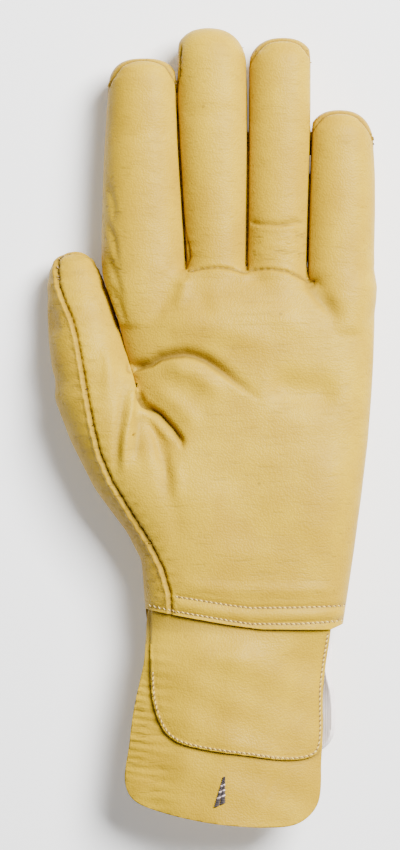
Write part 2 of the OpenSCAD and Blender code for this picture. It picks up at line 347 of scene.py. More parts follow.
seams = {
    "height": 13.3, "stripWidth": 7.0, "tipRise": {"index": 6.2, "middle": 0.5, "ring": 5.6, "little": 5.8},
    "between": [-12.1, 12.6, 38.0], "straight": (58.5, 53.5), "sliver": 4.4, "soft": 0.9,
    "skew": (0.31, 0.17),
    "thumb": [(-14.5, -90), (-14.6, -68), (-14.9, -60), (-17.5, -51), (-22, -42), (-29, -31),
              (-36, -19.5), (-40, -10), (-42.4, 0), (-44.9, 13.5), (-46.8, 24.5), (-48.2, 32),
              (-50, 38.5), (-52.7, 44.5), (-54.8, 50), (-55.6, 56), (-55.4, 62), (-53, 75)],
    "base": [(-46, 57.2), (-11.5, 57.2), (-9.5, 56.6), (-8, 55.6), (-4, 56.4), (2.2, 56.8), (7.4, 56.3),
             (11.3, 55.2), (12.6, 55.4), (14, 56.1), (21.4, 56.3), (27.2, 55.4), (31.5, 53.6),
             (34.2, 52.2), (36.5, 52.2), (62, 52.2)],
    "knuckleCut": 15, "thumbCut": (-46.6, 31.5), "thumbLean": 9.8,
    "groove": 1.15, "grooveWidth": 1.7, "pitch": 2.6,
    "hem": [(-30, -64.4), (-23, -65.6), (-14.6, -67.2), (6.7, -70.9), (17.8, -72.4), (42.7, -72.7),
            (48, -70.6), (54, -69)],
    "backEnd": -71.4,
}
fingerNames = list(fingers)
cutOrder = ("thumb", "base", "knuckle", "thumbKnuckle", "front", "back", "hem")


def softMin(a, b):
    return -seams["soft"] * np.logaddexp(-a / seams["soft"], -b / seams["soft"])


def pieceFields(x, y, z, apartX):                # each field is 0 on a cut, and its sign tells its sides
    fields = {}
    finger = np.digitize(apartX, seams["between"])
    onLittle = apartX > seams["between"][-1]
    own, withIndex = thumbApart(y)
    root = thumbEdge(y) - own / 2 - withIndex
    fields["thumb"] = np.where((y < thumb["clearOf"]) & (apartX < -18), apartX - root, 30.0)
    isThumb = fields["thumb"] < 0
    gunnLine = np.interp(x, [p[0] for p in seams["base"]], [p[1] for p in seams["base"]])
    straight = np.where(onLittle, seams["straight"][1], seams["straight"][0])
    baseLine = straight + (gunnLine - straight) * smoothStep(18.2, 20.2, z)
    fields["base"] = np.where(isThumb | (y < 40), -20.0, y - baseLine)

    def perFinger(values):
        return np.array(values)[finger]

    crotch = perFinger([f["crotch"] for f in fingers.values()])
    tip = perFinger([f["tip"][1] for f in fingers.values()])
    rise = perFinger([seams["tipRise"][n] for n in fingerNames])
    left = perFinger([f["seamSides"][0] for f in fingers.values()])
    right = perFinger([f["seamSides"][1] for f in fingers.values()])
    middle = perFinger([np.mean(f["rows"][3][1:3]) for f in fingers.values()])
    fields["knuckle"] = np.where(isThumb, -20.0, y - crotch - seams["knuckleCut"])
    lean = math.radians(seams["thumbLean"])
    cutX, cutY = seams["thumbCut"]
    fields["thumbKnuckle"] = np.where(isThumb, (y - cutY) * math.cos(lean) - (x - cutX) * math.sin(lean),
                                      -20.0)
    onFinger = (~isThumb) & (y > 50)
    height = seams["height"] + np.where(onFinger, rise * smoothStep(tip - 17, tip - 5, y), 0)
    hasStrip = onFinger & np.where(x < middle, left, right)
    reach = smoothStep(crotch - 5, crotch + 5, y) * (1 - smoothStep(tip - 30, tip - 9, y))
    width = np.where(hasStrip, seams["stripWidth"] * reach, 0)
    reach = smoothStep(53, 56, y) * (1 - smoothStep(60, 79, y))
    sliver = np.where((finger == 1) & (x < middle) & onFinger, seams["sliver"] * reach, 0)
    d, side, fields["thumbRun"] = pathDistance(seams["thumb"], x, y)
    across = np.where((finger > 0) | (onFinger), 60.0, d * side)
    fields["front"] = softMin(z - height - width / 2 - sliver, across)
    fields["back"] = softMin(z - height + width / 2, across)
    fields["across"] = across
    fields["finger"] = finger
    fields["isThumb"] = isThumb
    hem = np.interp(x, [p[0] for p in seams["hem"]], [p[1] for p in seams["hem"]])
    fields["hem"] = np.where(y > -55, 20.0, y - np.where(z > seams["height"], hem, seams["backEnd"]))
    return fields


def fieldsOf(bm):
    co = np.array([v.co[:] for v in bm.verts]) / mm
    apart = bm.verts.layers.float.get("apartX")
    return co, pieceFields(*co.T, np.array([v[apart] for v in bm.verts]))


def cutForm(form):
    bm = bmesh.new()
    bm.from_mesh(form.data)
    place = bm.verts.layers.float_vector.new("place")
    leanX, leanY = seams["skew"]
    for name in cutOrder:
        bm.verts.index_update()
        value = fieldsOf(bm)[1][name]
        crossed = []
        for f in bm.faces:
            corners = [value[v.index] for v in f.verts]
            if min(corners) < 0 < max(corners) and max(abs(c) for c in corners) < 4:
                crossed.append(f)
        for v in bm.verts:                       # moved to its value and leaned: a flat cut at 0 divides it
            v[place] = v.co
            v.co = (v.co.x + leanX * v.co.z, v.co.y + leanY * v.co.z, value[v.index] * mm)
        geom = set(crossed)
        for f in crossed:
            geom.update(f.verts)
            geom.update(f.edges)
        bmesh.ops.bisect_plane(bm, geom=list(geom), dist=1e-7, plane_co=(0, 0, 0), plane_no=(0, 0, 1))
        for v in bm.verts:
            v.co = v[place]
        print("cut", name, len(crossed))
    return bm


# ---- folds, wrinkles and rolled seam edges, pressed into the cut form ----
# Each fold is a path in mm, its height (below zero a groove), its width, and how it fades in from its ends.

folds = {
    "palmCrease": ([(-31, 19.6), (-27.5, 20.4), (-22.1, 21.9), (-18.5, 24), (-14.2, 25), (-9.5, 25.5),
                    (-5.9, 24.8), (-2.3, 23.4), (1.3, 21), (4.9, 18.2), (8.5, 15.4), (13, 12),
                    (20, 8)], -3.3, (0.9, 2.3), (0.08, 0.5)),
    "creasePad": ([(-19, 19.5), (-12, 20.5), (-6, 19), (0, 15), (6, 9)], 1.7, 3.8, (0.3, 0.4)),
    "creaseRidge": ([(-24, 33), (-14, 36.5), (-4, 36), (8, 33.5), (20, 31), (32, 30)], 1.7, 5.5, (0.3, 0.4)),
    "webFold": ([(-27.6, 12.8), (-24.3, 7.4), (-18.9, 4), (-13.9, -1.2), (-11.2, -5), (-10.2, -9.2)], -3.2,
                (0.55, 1.3), (0.1, 0.22)),
    "webLipUpper": ([(-22.5, 14.5), (-14.5, 9.6), (-8, 3.6), (-4.4, -3.4)], 1.0, 3.2, (0.3, 0.35)),
    "webLipLower": ([(-26.5, 6.4), (-20.4, 1.5), (-15.9, -3.4), (-12.6, -7.6)], 1.2, 1.35, (0.2, 0.3)),
    "thumbPleat": ([(-28.2, 17), (-28.8, 6), (-30.4, -3), (-31.2, -12), (-31.4, -19)], 1.3, 1.35,
                   (0.15, 0.35)),
    "thumbPleatGroove": ([(-31.2, 15), (-32.2, 4), (-33.6, -5), (-33.9, -13), (-33.5, -20)], -1.1, 1.5,
                         (0.3, 0.35)),
    "thumbPleatInner": ([(-25.6, 6), (-26, -5), (-27.2, -15)], -1.1, 1.7, (0.25, 0.35)),
    "softFoldA": ([(-22.6, 1), (-21.6, -8), (-22.6, -19)], 0.7, 2.0, (0.35, 0.4)),
    "softFoldB": ([(-16.8, -4), (-16.1, -16), (-16.8, -30)], -0.8, 1.9, (0.35, 0.45)),
    "softFoldC": ([(-12.4, -11), (-11.6, -20), (-12.4, -30)], 0.6, 2.1, (0.35, 0.45)),
    "thumbRidge": ([(-37.9, 32), (-36.6, 20), (-37, 6)], 0.9, 2.2, (0.35, 0.4)),
    "indexBaseRidge": ([(-9.4, 53), (-10.4, 47), (-13.4, 40)], 0.9, 2.2, (0.15, 0.5)),
    "middleBaseHollow": ([(-4.5, 49), (-3, 43), (2, 39)], -0.7, 3.2, (0.3, 0.5)),
    "littleBaseFold": ([(33.8, 52), (38, 46), (43, 40.5), (48.5, 36.5)], -1.4, (1.6, 3.2), (0.1, 0.5)),
    "palmHollow": ([(18, 16), (31, 12.5), (48, 11)], -2.5, 6.0, (0.3, 0.3)),
    "heelHollow": ([(12, -10), (13, -28), (14, -48)], -0.9, 10.0, (0.3, 0.3)),
    "fingerPads": ([(-18, 45), (4, 42), (22, 40), (42, 33)], 1.2, 5.5, (0.3, 0.3)),
    "ballOfThumb": ([(-19, 0), (-13, -20), (-4, -38)], 1.3, 10.0, (0.35, 0.35)),
    "heel": ([(44, -4), (40, -26), (34, -46)], 1.1, 9.0, (0.3, 0.3)),
    "wristRidge": ([(-14, -56), (8, -58.6), (48, -58.4)], 0.6, 2.4, (0.15, 0.15)),
    "hemRowUpper": ([(-14, -60.4), (6.7, -63.9), (13.9, -64.7), (49, -64.4)], -0.5, 0.85, (0.02, 0.02)),
    "hemRowLower": ([(-23, -64.4), (-14.6, -65.9), (6.7, -69.4), (13.9, -70.4), (48, -69.6)], -0.45, 0.75,
                    (0.02, 0.02)),
    "hemBand": ([(-14, -63), (6.7, -66.7), (13.9, -67.6), (49, -67.1)], 0.45, 1.6, (0.02, 0.02)),
    "ringCrease": ([(13.2, 73.2), (17, 72), (24, 71.7), (30, 72.6), (34.5, 72)], -0.85, (0.6, 1.3),
                   (0.1, 0.2)),
    "ringLineA": ([(15, 69.8), (21, 69), (27, 69.3), (33.5, 69.6)], -0.3, 0.6, (0.25, 0.2)),
    "ringLineB": ([(19, 66.9), (27, 66.2), (34, 66.8)], -0.28, 0.6, (0.3, 0.2)),
    "ringLineC": ([(16, 63.8), (22, 62.9), (29, 63.4), (33.5, 63.2)], -0.26, 0.6, (0.3, 0.2)),
    "middleWaist": ([(-12, 112.5), (0, 112), (13, 113)], -0.45, 3.0, (0.2, 0.2)),
    "indexWaist": ([(-38, 106), (-25, 104.5), (-12, 106)], -0.4, 4.0, (0.2, 0.2)),
    "indexSideA": ([(-38.5, 90), (-35.5, 81), (-34, 71)], -0.55, 1.1, (0.3, 0.4)),
    "indexSideB": ([(-38.6, 76), (-35, 67), (-33.2, 55)], -0.65, 1.1, (0.3, 0.4)),
    "indexSideC": ([(-38.6, 64), (-34.4, 54), (-31.2, 42)], -0.7, 1.2, (0.3, 0.4)),
    "indexSideD": ([(-37.2, 53), (-33.2, 44), (-29.4, 33)], -0.6, 1.1, (0.3, 0.4)),
    "thumbBackDent": ([(-58.6, 45), (-57.4, 38), (-56, 31)], -1.1, 2.6, (0.35, 0.35)),
}


def foldHeight(points, height, width, fade, x, y):
    d, side, where = pathDistance(points, x, y)
    if isinstance(width, tuple):                 # one width on the right of the path, another on its left
        width = np.where(side > 0, width[0], width[1])
    ends = smoothStep(0, fade[0], where) * (1 - smoothStep(1 - fade[1], 1, where))
    return height * hump(d, width) * ends


relief = {
    "gunn": 0.85, "gunnWidth": 1.3, "gunnLip": 0.35, "backLip": 0.55, "ripple": 0.18, "sideShare": 0.5,
    "gather": 0.6, "gatherPitch": 4.3, "seamDark": 0.9, "gunnDark": 0.8, "narrow": 2.5,
}


def pressFolds(f, facing, x, y):
    press, deep = np.zeros(len(x)), np.zeros(len(x))
    for name, (points, height, width, fade) in folds.items():
        onFingers = points[0][1] > 53 and "thumb" not in name
        h = foldHeight(points, height, width, fade, x, y) * (facing * ~f["isThumb"] if onFingers else facing)
        press += h
        isNarrow = isinstance(width, tuple) or width < relief["narrow"]
        # painted shade: narrow grooves also darken the leather's colour
        if height < 0 and isNarrow:              # narrow grooves are darker
            deep += np.clip(-h, 0, 3) / 3
    return press, deep


def pressSeams(f, steep, y, z):
    seamD = np.minimum(np.abs(f["front"]), np.abs(f["back"]))
    along = np.where(f["isThumb"] | (f["across"] < 12), f["thumbRun"] * 165, y)
    wobble = 1 + 0.22 * waves(along, seams["pitch"]) + 0.12 * waves(along, 7.3, 1.1)
    inWrist = smoothStep(-70, -64, y)
    onSide = smoothStep(10, 30, f["across"]) * (1 - smoothStep(0.3, 0.75, steep))
    wobble = wobble + (1 - wobble) * 0.7 * onSide
    groove = seams["groove"] * (1 - relief["sideShare"] * onSide)
    press = -groove * np.clip(1 - seamD / seams["grooveWidth"], 0, 1) ** 2 * wobble * inWrist
    press += relief["ripple"] * (1 - onSide) * waves(along, 4.4) * hump(seamD - 2.2, 1.6) * inWrist
    backLip = (f["across"] < 0) & (f["across"] > -4) & (z > seams["height"])
    press += np.where(backLip, relief["backLip"] * hump(seamD - 1.15, 0.55), 0) * inWrist
    # painted shade: the leather's colour darkens towards the seam line
    return press, 0.9 * np.clip(1 - seamD / relief["seamDark"], 0, 1)


def pressGunn(f, x, y):                          # the seam across the middle and ring fingers' bases
    onGunn = (f["finger"] == 1) & (x > -8.6) | (f["finger"] == 2)
    shown = smoothStep(0, 3, f["front"]) * onGunn * (~f["isThumb"]) * (y > 45)
    d = np.abs(f["base"])
    dip = np.clip(1 - d / relief["gunnWidth"], 0, 1) ** 2
    press = -relief["gunn"] * dip * (1 + 0.2 * waves(x, 2.4)) * shown
    press += relief["gunnLip"] * hump(f["base"] + 1.9, 1.1) * shown
    # painted shade: the leather's colour darkens along the gunn seam
    return press, 0.9 * np.clip(1 - d / relief["gunnDark"], 0, 1) * shown


def gatherWrist(x, y, z):                        # the elastic gathers the back
    share = smoothStep(-8, -3, x) * (1 - smoothStep(29, 34, x))
    share = share * smoothStep(-72, -66, y) * (1 - smoothStep(-59, -50, y)) * (z < 4)
    return -relief["gather"] * share * (0.5 + 0.5 * waves(x, relief["gatherPitch"], 0.7 * np.sin(y / 2.6)))


def wrinkledShare(f, x, y):
    onIndex = smoothStep(-30.5, -35, x) * smoothStep(24, 36, y) * (1 - smoothStep(84, 96, y))
    share = 0.15 + onIndex * (~f["isThumb"])
    onRing = smoothStep(12.8, 15, x) * (1 - smoothStep(33, 36, x))
    share += 0.7 * onRing * smoothStep(57.5, 61, y) * (1 - smoothStep(72, 77, y))
    return share + 0.35 * f["isThumb"] * (f["across"] < 0) + 0.4 * (f["across"] < 0) * (y < -40)


def sculpt(bm):
    bm.normal_update()
    co, f = fieldsOf(bm)
    x, y, z = co.T
    normal = np.array([v.normal[:] for v in bm.verts])
    press, deep = pressFolds(f, smoothStep(0.0, 0.45, normal[:, 2]), x, y)
    for morePress, moreShade in (pressSeams(f, np.abs(normal[:, 2]), y, z), pressGunn(f, x, y)):
        press += morePress
        deep += moreShade
    press += gatherWrist(x, y, z)
    lined = wrinkledShare(f, x, y)
    co += normal * press[:, None]
    # this vertex attribute holds painted shade for narrow grooves and seams, which darkens the leather's
    # colour
    shadeLayer = bm.verts.layers.float.new("deep")
    wrinkledLayer = bm.verts.layers.float.new("wrinkled")
    for v, c, d, w in zip(bm.verts, co, np.clip(deep, 0, 1), np.clip(lined, 0, 1)):
        v.co = Vector(c) * mm
        v[shadeLayer] = d
        v[wrinkledLayer] = w
    print("sculpted", len(bm.verts))


def refineSeams(bm):
    co, f = fieldsOf(bm)
    x, y, z = co.T
    near = np.minimum(np.abs(f["front"]), np.abs(f["back"])) < 2.6
    near |= (np.abs(f["base"]) < 2.4) & (z > 18) & (f["finger"] > 0) & (f["finger"] < 3)
    for name in ("webFold", "palmCrease", "ringCrease", "hemRowUpper", "hemRowLower"):
        points, width = folds[name][0], folds[name][2]
        reach = 1.4 * (max(width) if isinstance(width, tuple) else 1.3 * width)
        near |= (pathDistance(points, x, y)[0] < reach) & (z > 16)
    edges = [e for e in bm.edges if all(near[v.index] for v in e.verts) and e.calc_length() > 0.55 * mm]
    bmesh.ops.subdivide_edges(bm, edges=edges, cuts=1, use_grid_fill=True)
    bm.verts.index_update()
    print("refined along", len(edges), "edges")


# ---- materials ----

# each crease colour is the dark colour mixed in for grain cells, specks and wrinkle lines, and for painted
# shade in grooves, seams and under the hem
finish = {
    "leather": {"base": (0.57, 0.366, 0.004), "low": (0.455, 0.274, 0.002), "crease": (0.17, 0.1, 0.012),
                "grain": 1500, "roughness": 0.46, "bump": 0.34},
    "backLeather": {"base": (0.5, 0.312, 0.004), "low": (0.4, 0.23, 0.002), "crease": (0.16, 0.095, 0.012),
                    "grain": 1350, "roughness": 0.5, "bump": 0.4},
    "fleshSide": {"base": (0.62, 0.47, 0.24), "low": (0.55, 0.4, 0.18), "crease": (0.3, 0.18, 0.07),
                  "grain": 2600, "roughness": 0.85, "bump": 0.5},
}


def addNode(tree, kind, **values):
    node = tree.nodes.new(kind)
    for key, value in values.items():
        setattr(node, key, value)
    return node


def feed(tree, slot, value):
    if isinstance(value, (int, float, tuple)):
        slot.default_value = value
    elif value is not None:
        tree.links.new(value, slot)


def rampNode(tree, value, low, high):
    node = addNode(tree, "ShaderNodeMapRange", interpolation_type="SMOOTHSTEP", clamp=True)
    setInputs(node, {"From Min": low, "From Max": high})
    feed(tree, node.inputs["Value"], value)
    return node.outputs[0]


def mathNode(tree, kind, a=None, b=None):
    node = addNode(tree, "ShaderNodeMath", operation=kind)
    for slot, value in zip(node.inputs, (a, b)):
        feed(tree, slot, value)
    return node.outputs[0]


def times(tree, a, b):
    return mathNode(tree, "MULTIPLY", a, b)


def plus(tree, a, b):
    return mathNode(tree, "ADD", a, b)


def mixColour(tree, share, a, b):
    node = addNode(tree, "ShaderNodeMix", data_type="RGBA", blend_type="MIX")
    for place, value in ((0, share), (6, a), (7, b)):
        feed(tree, node.inputs[place], value)
    return node.outputs[2]


def bumpOn(tree, shader, height, strength, distance):
    bump = setInputs(addNode(tree, "ShaderNodeBump"), {"Strength": strength, "Distance": distance * mm})
    feed(tree, bump.inputs["Height"], height)
    feed(tree, shader.inputs["Normal"], bump.outputs["Normal"])


def noiseOn(tree, coordinates, scale, detail=3, roughness=0.55, stretch=None):
    if stretch:
        mapping = addNode(tree, "ShaderNodeMapping")
        setInputs(mapping, {"Scale": stretch[0], "Rotation": stretch[1]})
        feed(tree, mapping.inputs[0], coordinates)
        coordinates = mapping.outputs[0]
    node = setInputs(addNode(tree, "ShaderNodeTexNoise"),
                     {"Scale": scale, "Detail": detail, "Roughness": roughness})
    feed(tree, node.inputs["Vector"], coordinates)
    return node.outputs["Fac"]


def leatherGroup():
    tree = bpy.data.node_groups.new("leatherSurface", "ShaderNodeTree")
    for name, kind, way in (
        ("Base", "Color", "INPUT"), ("Low", "Color", "INPUT"), ("Crease", "Color", "INPUT"),
        ("Grain", "Float", "INPUT"), ("Dull", "Float", "INPUT"),
        ("Color", "Color", "OUTPUT"), ("Roughness", "Float", "OUTPUT"), ("Height", "Float", "OUTPUT"),
    ):
        tree.interface.new_socket(name, in_out=way, socket_type="NodeSocket" + kind)
    start = addNode(tree, "NodeGroupInput").outputs
    end = addNode(tree, "NodeGroupOutput").inputs
    spot = addNode(tree, "ShaderNodeTexCoord").outputs["Object"]
    blotch = noiseOn(tree, spot, 22, 3)
    patchy = noiseOn(tree, spot, 95, 4)
    fibre = noiseOn(tree, spot, 190, 5, 0.6, ((0.5, 3.2, 2.0), (0, 0, 0.25)))
    pores = noiseOn(tree, spot, 3400, 2)
    pebble = setInputs(addNode(tree, "ShaderNodeTexVoronoi", feature="SMOOTH_F1"),
                       {"Smoothness": 0.35, "Randomness": 1.0})
    feed(tree, pebble.inputs["Vector"], spot)
    feed(tree, pebble.inputs["Scale"], start["Grain"])
    speck = setInputs(addNode(tree, "ShaderNodeTexVoronoi"), {"Scale": 62, "Randomness": 1.0})
    feed(tree, speck.inputs["Vector"], spot)
    deep = addNode(tree, "ShaderNodeAttribute", attribute_name="deep").outputs["Fac"]
    wrinkled = addNode(tree, "ShaderNodeAttribute", attribute_name="wrinkled").outputs["Fac"]
    shade = rampNode(tree, plus(tree, times(tree, blotch, 0.62), times(tree, patchy, 0.38)), 0.34, 0.68)
    lines = rampNode(tree, fibre, 0.52, 0.74)
    cell = rampNode(tree, pebble.outputs["Distance"], 0.25, 0.75)
    dot = rampNode(tree, speck.outputs["Distance"], 0.05, 0.02)
    colour = mixColour(tree, shade, start["Base"], start["Low"])
    # mixed towards the dark colour: wrinkle lines, grain cells and specks, and painted shade in grooves,
    # seams and under the hem, read from the vertex attribute above
    for share in (
        times(tree, lines, plus(tree, times(tree, wrinkled, 0.55), 0.1)),
        times(tree, cell, 0.12), times(tree, deep, 0.8), times(tree, dot, 0.42),
    ):
        colour = mixColour(tree, share, colour, start["Crease"])
    feed(tree, end["Color"], colour)
    dull = plus(tree, start["Dull"], times(tree, mathNode(tree, "SUBTRACT", patchy, 0.5), 0.3))
    feed(tree, end["Roughness"], plus(tree, dull, times(tree, deep, 0.25)))
    height = plus(tree, times(tree, mathNode(tree, "SUBTRACT", 1.0, cell), 0.35), times(tree, pores, 0.25))
    height = plus(tree, height, times(tree, patchy, 0.9))
    creases = times(tree, lines, plus(tree, times(tree, wrinkled, -2.2), -0.25))
    feed(tree, end["Height"], plus(tree, height, creases))
    return tree


leatherTree = leatherGroup()


def leatherMaterial(name):
    values = finish[name]
    material, tree, shader = newMaterial(name)
    group = addNode(tree, "ShaderNodeGroup", node_tree=leatherTree)
    setInputs(group, {"Base": values["base"] + (1,), "Low": values["low"] + (1,),
                      "Crease": values["crease"] + (1,), "Grain": values["grain"],
                      "Dull": values["roughness"]})
    feed(tree, shader.inputs["Base Color"], group.outputs["Color"])
    feed(tree, shader.inputs["Roughness"], group.outputs["Roughness"])
    bumpOn(tree, shader, group.outputs["Height"], values["bump"], 0.5)
    setInputs(shader, {"Sheen Weight": 0.0, "Specular IOR Level": 0.16})
    return material


def threadMaterial(name, light, dark, turn, roughness=0.7):
    material, tree, shader = newMaterial(name)
    spot = addNode(tree, "ShaderNodeTexCoord").outputs["Object"]
    twist = noiseOn(tree, spot, 900, 2, 0.5, ((1.0, 3.4, 1.0), (0, 0, turn)))
    ply = rampNode(tree, twist, 0.38, 0.6)
    feed(tree, shader.inputs["Base Color"], mixColour(tree, ply, dark + (1,), light + (1,)))
    bumpOn(tree, shader, twist, 0.6, 0.3)
    setInputs(shader, {"Roughness": roughness, "Sheen Weight": 0.2})
    return material


def knitMaterial(name, light, dark, rows):
    material, tree, shader = newMaterial(name)
    spot = addNode(tree, "ShaderNodeTexCoord").outputs["Object"]
    ribs = setInputs(addNode(tree, "ShaderNodeTexWave", bands_direction="X"),
                     {"Scale": rows, "Distortion": 1.2, "Detail": 1.0, "Detail Scale": 3.0})
    feed(tree, ribs.inputs["Vector"], spot)
    rib = ribs.outputs["Fac"]
    share = plus(tree, times(tree, rib, 0.35), times(tree, noiseOn(tree, spot, 160, 4), 0.65))
    feed(tree, shader.inputs["Base Color"], mixColour(tree, share, dark + (1,), light + (1,)))
    height = plus(tree, times(tree, rib, 0.6), times(tree, noiseOn(tree, spot, 2600, 2), 0.5))
    bumpOn(tree, shader, height, 0.4, 0.4)
    setInputs(shader, {"Roughness": 0.9, "Sheen Weight": 0.3})
    return material


leather = leatherMaterial("leather")
backLeather = leatherMaterial("backLeather")
fleshSide = leatherMaterial("fleshSide")
sewingThread = threadMaterial("sewingThread", (0.8, 0.6, 0.17), (0.56, 0.38, 0.08), 0.6)
# dark beads beside the stitches: painted shadow of the needle holes
needleHole = threadMaterial("needleHole", (0.2, 0.115, 0.03), (0.13, 0.07, 0.02), 0.6, 0.9)
darkThread = threadMaterial("darkThread", (0.05, 0.034, 0.036), (0.018, 0.011, 0.012), 0.4, 0.6)
paleThread = threadMaterial("paleThread", (0.62, 0.5, 0.47), (0.4, 0.3, 0.29), 0.4, 0.6)
liningKnit = knitMaterial("liningKnit", (0.97, 0.9, 0.87), (0.9, 0.8, 0.76), 520)
elasticKnit = knitMaterial("elasticKnit", (0.8, 0.76, 0.68), (0.55, 0.5, 0.42), 260)
print("materials made")


# ---- the cut form becomes separate leather panels ----

panel = {
    "thickness": 1.2, "thumbRoot": (-27.2, -34.5), "thumbMiddle": (-46.9, 36.4, 14), "thumbReach": (4.5, 5),
    "baseBend": (1.6, 14.6), "knuckleReach": 8, "bendHeight": 0.02,
}
crotchNames = ("indexMiddleCrotch", "middleRingCrotch", "ringLittleCrotch")
neighbours = {("index", 1): "Middle", ("middle", 0): "Index", ("middle", 1): "Ring",
              ("ring", 0): "Middle", ("ring", 1): "Little", ("little", 0): "Ring"}
labels = ["palmPanel", "backPanel", *crotchNames]
for level in ("Lower", "Upper"):
    labels += [f"{name}{side}{level}" for name in ("thumb", *fingerNames) for side in ("Front", "Back")]
    labels += [f"{name}{other}Strip{level}" for (name, side), other in neighbours.items()]


def nodeOf(label):
    return "".join("_" + c.lower() if c.isupper() else c for c in label)


def labelFaces(bm):
    co, f = fieldsOf(bm)
    x, y, z = co.T
    number = {label: i for i, label in enumerate(labels)}
    middle = {n: np.mean(fingers[n]["rows"][3][1:3]) for n in fingerNames}
    away = []
    for face in bm.faces:
        at = [v.index for v in face.verts]
        mean = {k: float(np.mean(f[k][at])) for k in cutOrder}
        cx, cy = float(np.mean(x[at])), float(np.mean(y[at]))
        side = "Front" if mean["front"] > 0 else "Back"
        between = mean["front"] < 0 < mean["back"]
        if mean["thumb"] < 0:
            label = f"thumb{side}{'Upper' if mean['thumbKnuckle'] > 0 else 'Lower'}"
        elif mean["base"] > 0:
            name = fingerNames[int(np.median(f["finger"][at]))]
            other = neighbours.get((name, int(cx > middle[name]))) if between else None
            label = f"{name}{other + 'Strip' if other else side}{'Upper' if mean['knuckle'] > 0 else 'Lower'}"
        elif between and cy > 50:
            label = crotchNames[int(np.digitize(cx, [1, 24]))]
        else:
            label = "palmPanel" if side == "Front" else "backPanel"
            if mean["hem"] < 0:
                away.append(face)
        face.material_index = number[label]
    bmesh.ops.delete(bm, geom=away, context="FACES")


def splitForm(form):
    for label in labels:
        form.data.materials.append(bpy.data.materials.new(label + "Marker"))
    for obj in bpy.context.selected_objects:
        obj.select_set(False)
    bpy.context.view_layer.objects.active = form
    form.select_set(True)
    bpy.ops.object.mode_set(mode="EDIT")
    bpy.ops.mesh.select_all(action="SELECT")
    bpy.ops.mesh.separate(type="MATERIAL")
    bpy.ops.object.mode_set(mode="OBJECT")
    found = {}
    for obj in list(bpy.context.selected_objects):
        label = obj.data.materials[obj.data.polygons[0].material_index].name.replace("Marker", "")
        obj.name = obj.data.name = label
        obj.select_set(False)
        found[label] = obj
    for label in labels:
        bpy.data.materials.remove(bpy.data.materials[label + "Marker"])
    return found


def thicken(obj, thickness, outside, inside, rim=0):
    mesh = obj.data
    mesh.materials.clear()
    mesh.materials.append(outside)
    mesh.materials.append(inside)
    mesh.polygons.foreach_set("material_index", [0] * len(mesh.polygons))
    count = len(mesh.polygons)
    wall = obj.modifiers.new("wall", "SOLIDIFY")
    wall.thickness = thickness * mm
    wall.offset = -1
    wall.use_even_offset = False
    wall.material_offset = 1
    wall.material_offset_rim = rim
    done = bpy.data.meshes.new_from_object(obj.evaluated_get(bpy.context.evaluated_depsgraph_get()))
    obj.modifiers.clear()
    obj.data = done
    done.name = obj.name
    done.polygons.foreach_set("use_smooth", [i < 2 * count for i in range(len(done.polygons))])
    whole = done.attributes.get("wholeNormal")
    if whole:
        normal = np.empty(len(done.vertices) * 3)
        whole.data.foreach_get("vector", normal)
        normal = normal.reshape(-1, 3)
        corner = np.empty(len(done.loops), dtype=np.int32)
        done.loops.foreach_get("vertex_index", corner)
        sizes = np.empty(len(done.polygons), dtype=np.int32)
        done.polygons.foreach_get("loop_total", sizes)
        sign = np.where(np.arange(len(sizes)) < count, 1, np.where(np.arange(len(sizes)) < 2 * count, -1, 0))
        loops = normal[corner] * np.repeat(sign, sizes)[:, None]
        done.normals_split_custom_set(loops.tolist())
    for name in ("wholeNormal", "place", "apartX"):
        if done.attributes.get(name):
            done.attributes.remove(done.attributes[name])
    return obj


bm = cutForm(form)
labelFaces(bm)
refineSeams(bm)
sculpt(bm)
for f in bm.faces:
    f.smooth = True
bm.normal_update()
whole = bm.verts.layers.float_vector.new("wholeNormal")
for v in bm.verts:
    v[whole] = v.normal
bm.to_mesh(form.data)
handSurface = BVHTree.FromBMesh(bm)
bm.free()
pieces = splitForm(form)
print("split into", len(pieces), "pieces")

for label, obj in pieces.items():
    isFront = "Front" in label or label == "palmPanel"
    thicken(obj, panel["thickness"], leather if isFront else backLeather, fleshSide)
    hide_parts(nodeOf(label))
    if label in ("palmPanel", "backPanel", *crotchNames):
        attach(obj, "hand")
    else:
        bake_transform(obj)
print("panels thickened")


# ---- artery flap, its sewn patch, and the lined back cuff ----

flap = {
    "outline": [(-21.5, -61.5), (-23.2, -67.7), (-23.6, -76), (-24, -84.2), (-25.6, -91), (-27.5, -99.4),
                (-28.7, -107), (-29.5, -114.8), (-31, -123), (-31.2, -127.5), (-30, -131.5),
                (-27.6, -134.4), (-23.5, -136.4), (-16.7, -138.5), (-8, -140.4), (0, -141.8),
                (13.9, -143.2), (24.7, -143.5), (29.6, -142.9), (33.6, -141), (36.8, -138),
                (38.8, -134.2), (39.4, -128), (39.3, -121.3), (39.8, -114), (40.1, -108), (39.9, -100),
                (40.1, -93), (41, -85.5), (42.3, -77), (43.2, -69), (43.2, -61.5)],
    "patch": [(-21.6, -61.5), (-21.8, -70), (-21.8, -91), (-21.3, -97), (-20, -102.4), (-18, -107.3),
              (-15.3, -111), (-10.3, -113.7), (0, -115.9), (13.9, -117.6), (22, -118.9), (28.6, -119.5),
              (34.6, -118.9), (38.2, -117.2), (39.3, -113.5), (39.7, -108), (39.5, -100), (39.7, -93),
              (40.6, -85.5), (41.9, -77), (42.8, -69), (42.8, -61.5)],
    "thickness": 1.2, "patchThickness": 1.1, "cell": 0.75, "crown": 31.2, "crownX": 4, "archRadius": 70,
    "patchFlat": (65, 58), "flat": (75, 82), "hinge": (-71.5, -80), "patchGap": 0.08,
    # each dent is height, x, width, y, length
    "dents": [(1.1, 6, 16, -82, 9), (-0.9, 16, 15, -104, 9), (0.5, -12, 5, -96, 14)],
}
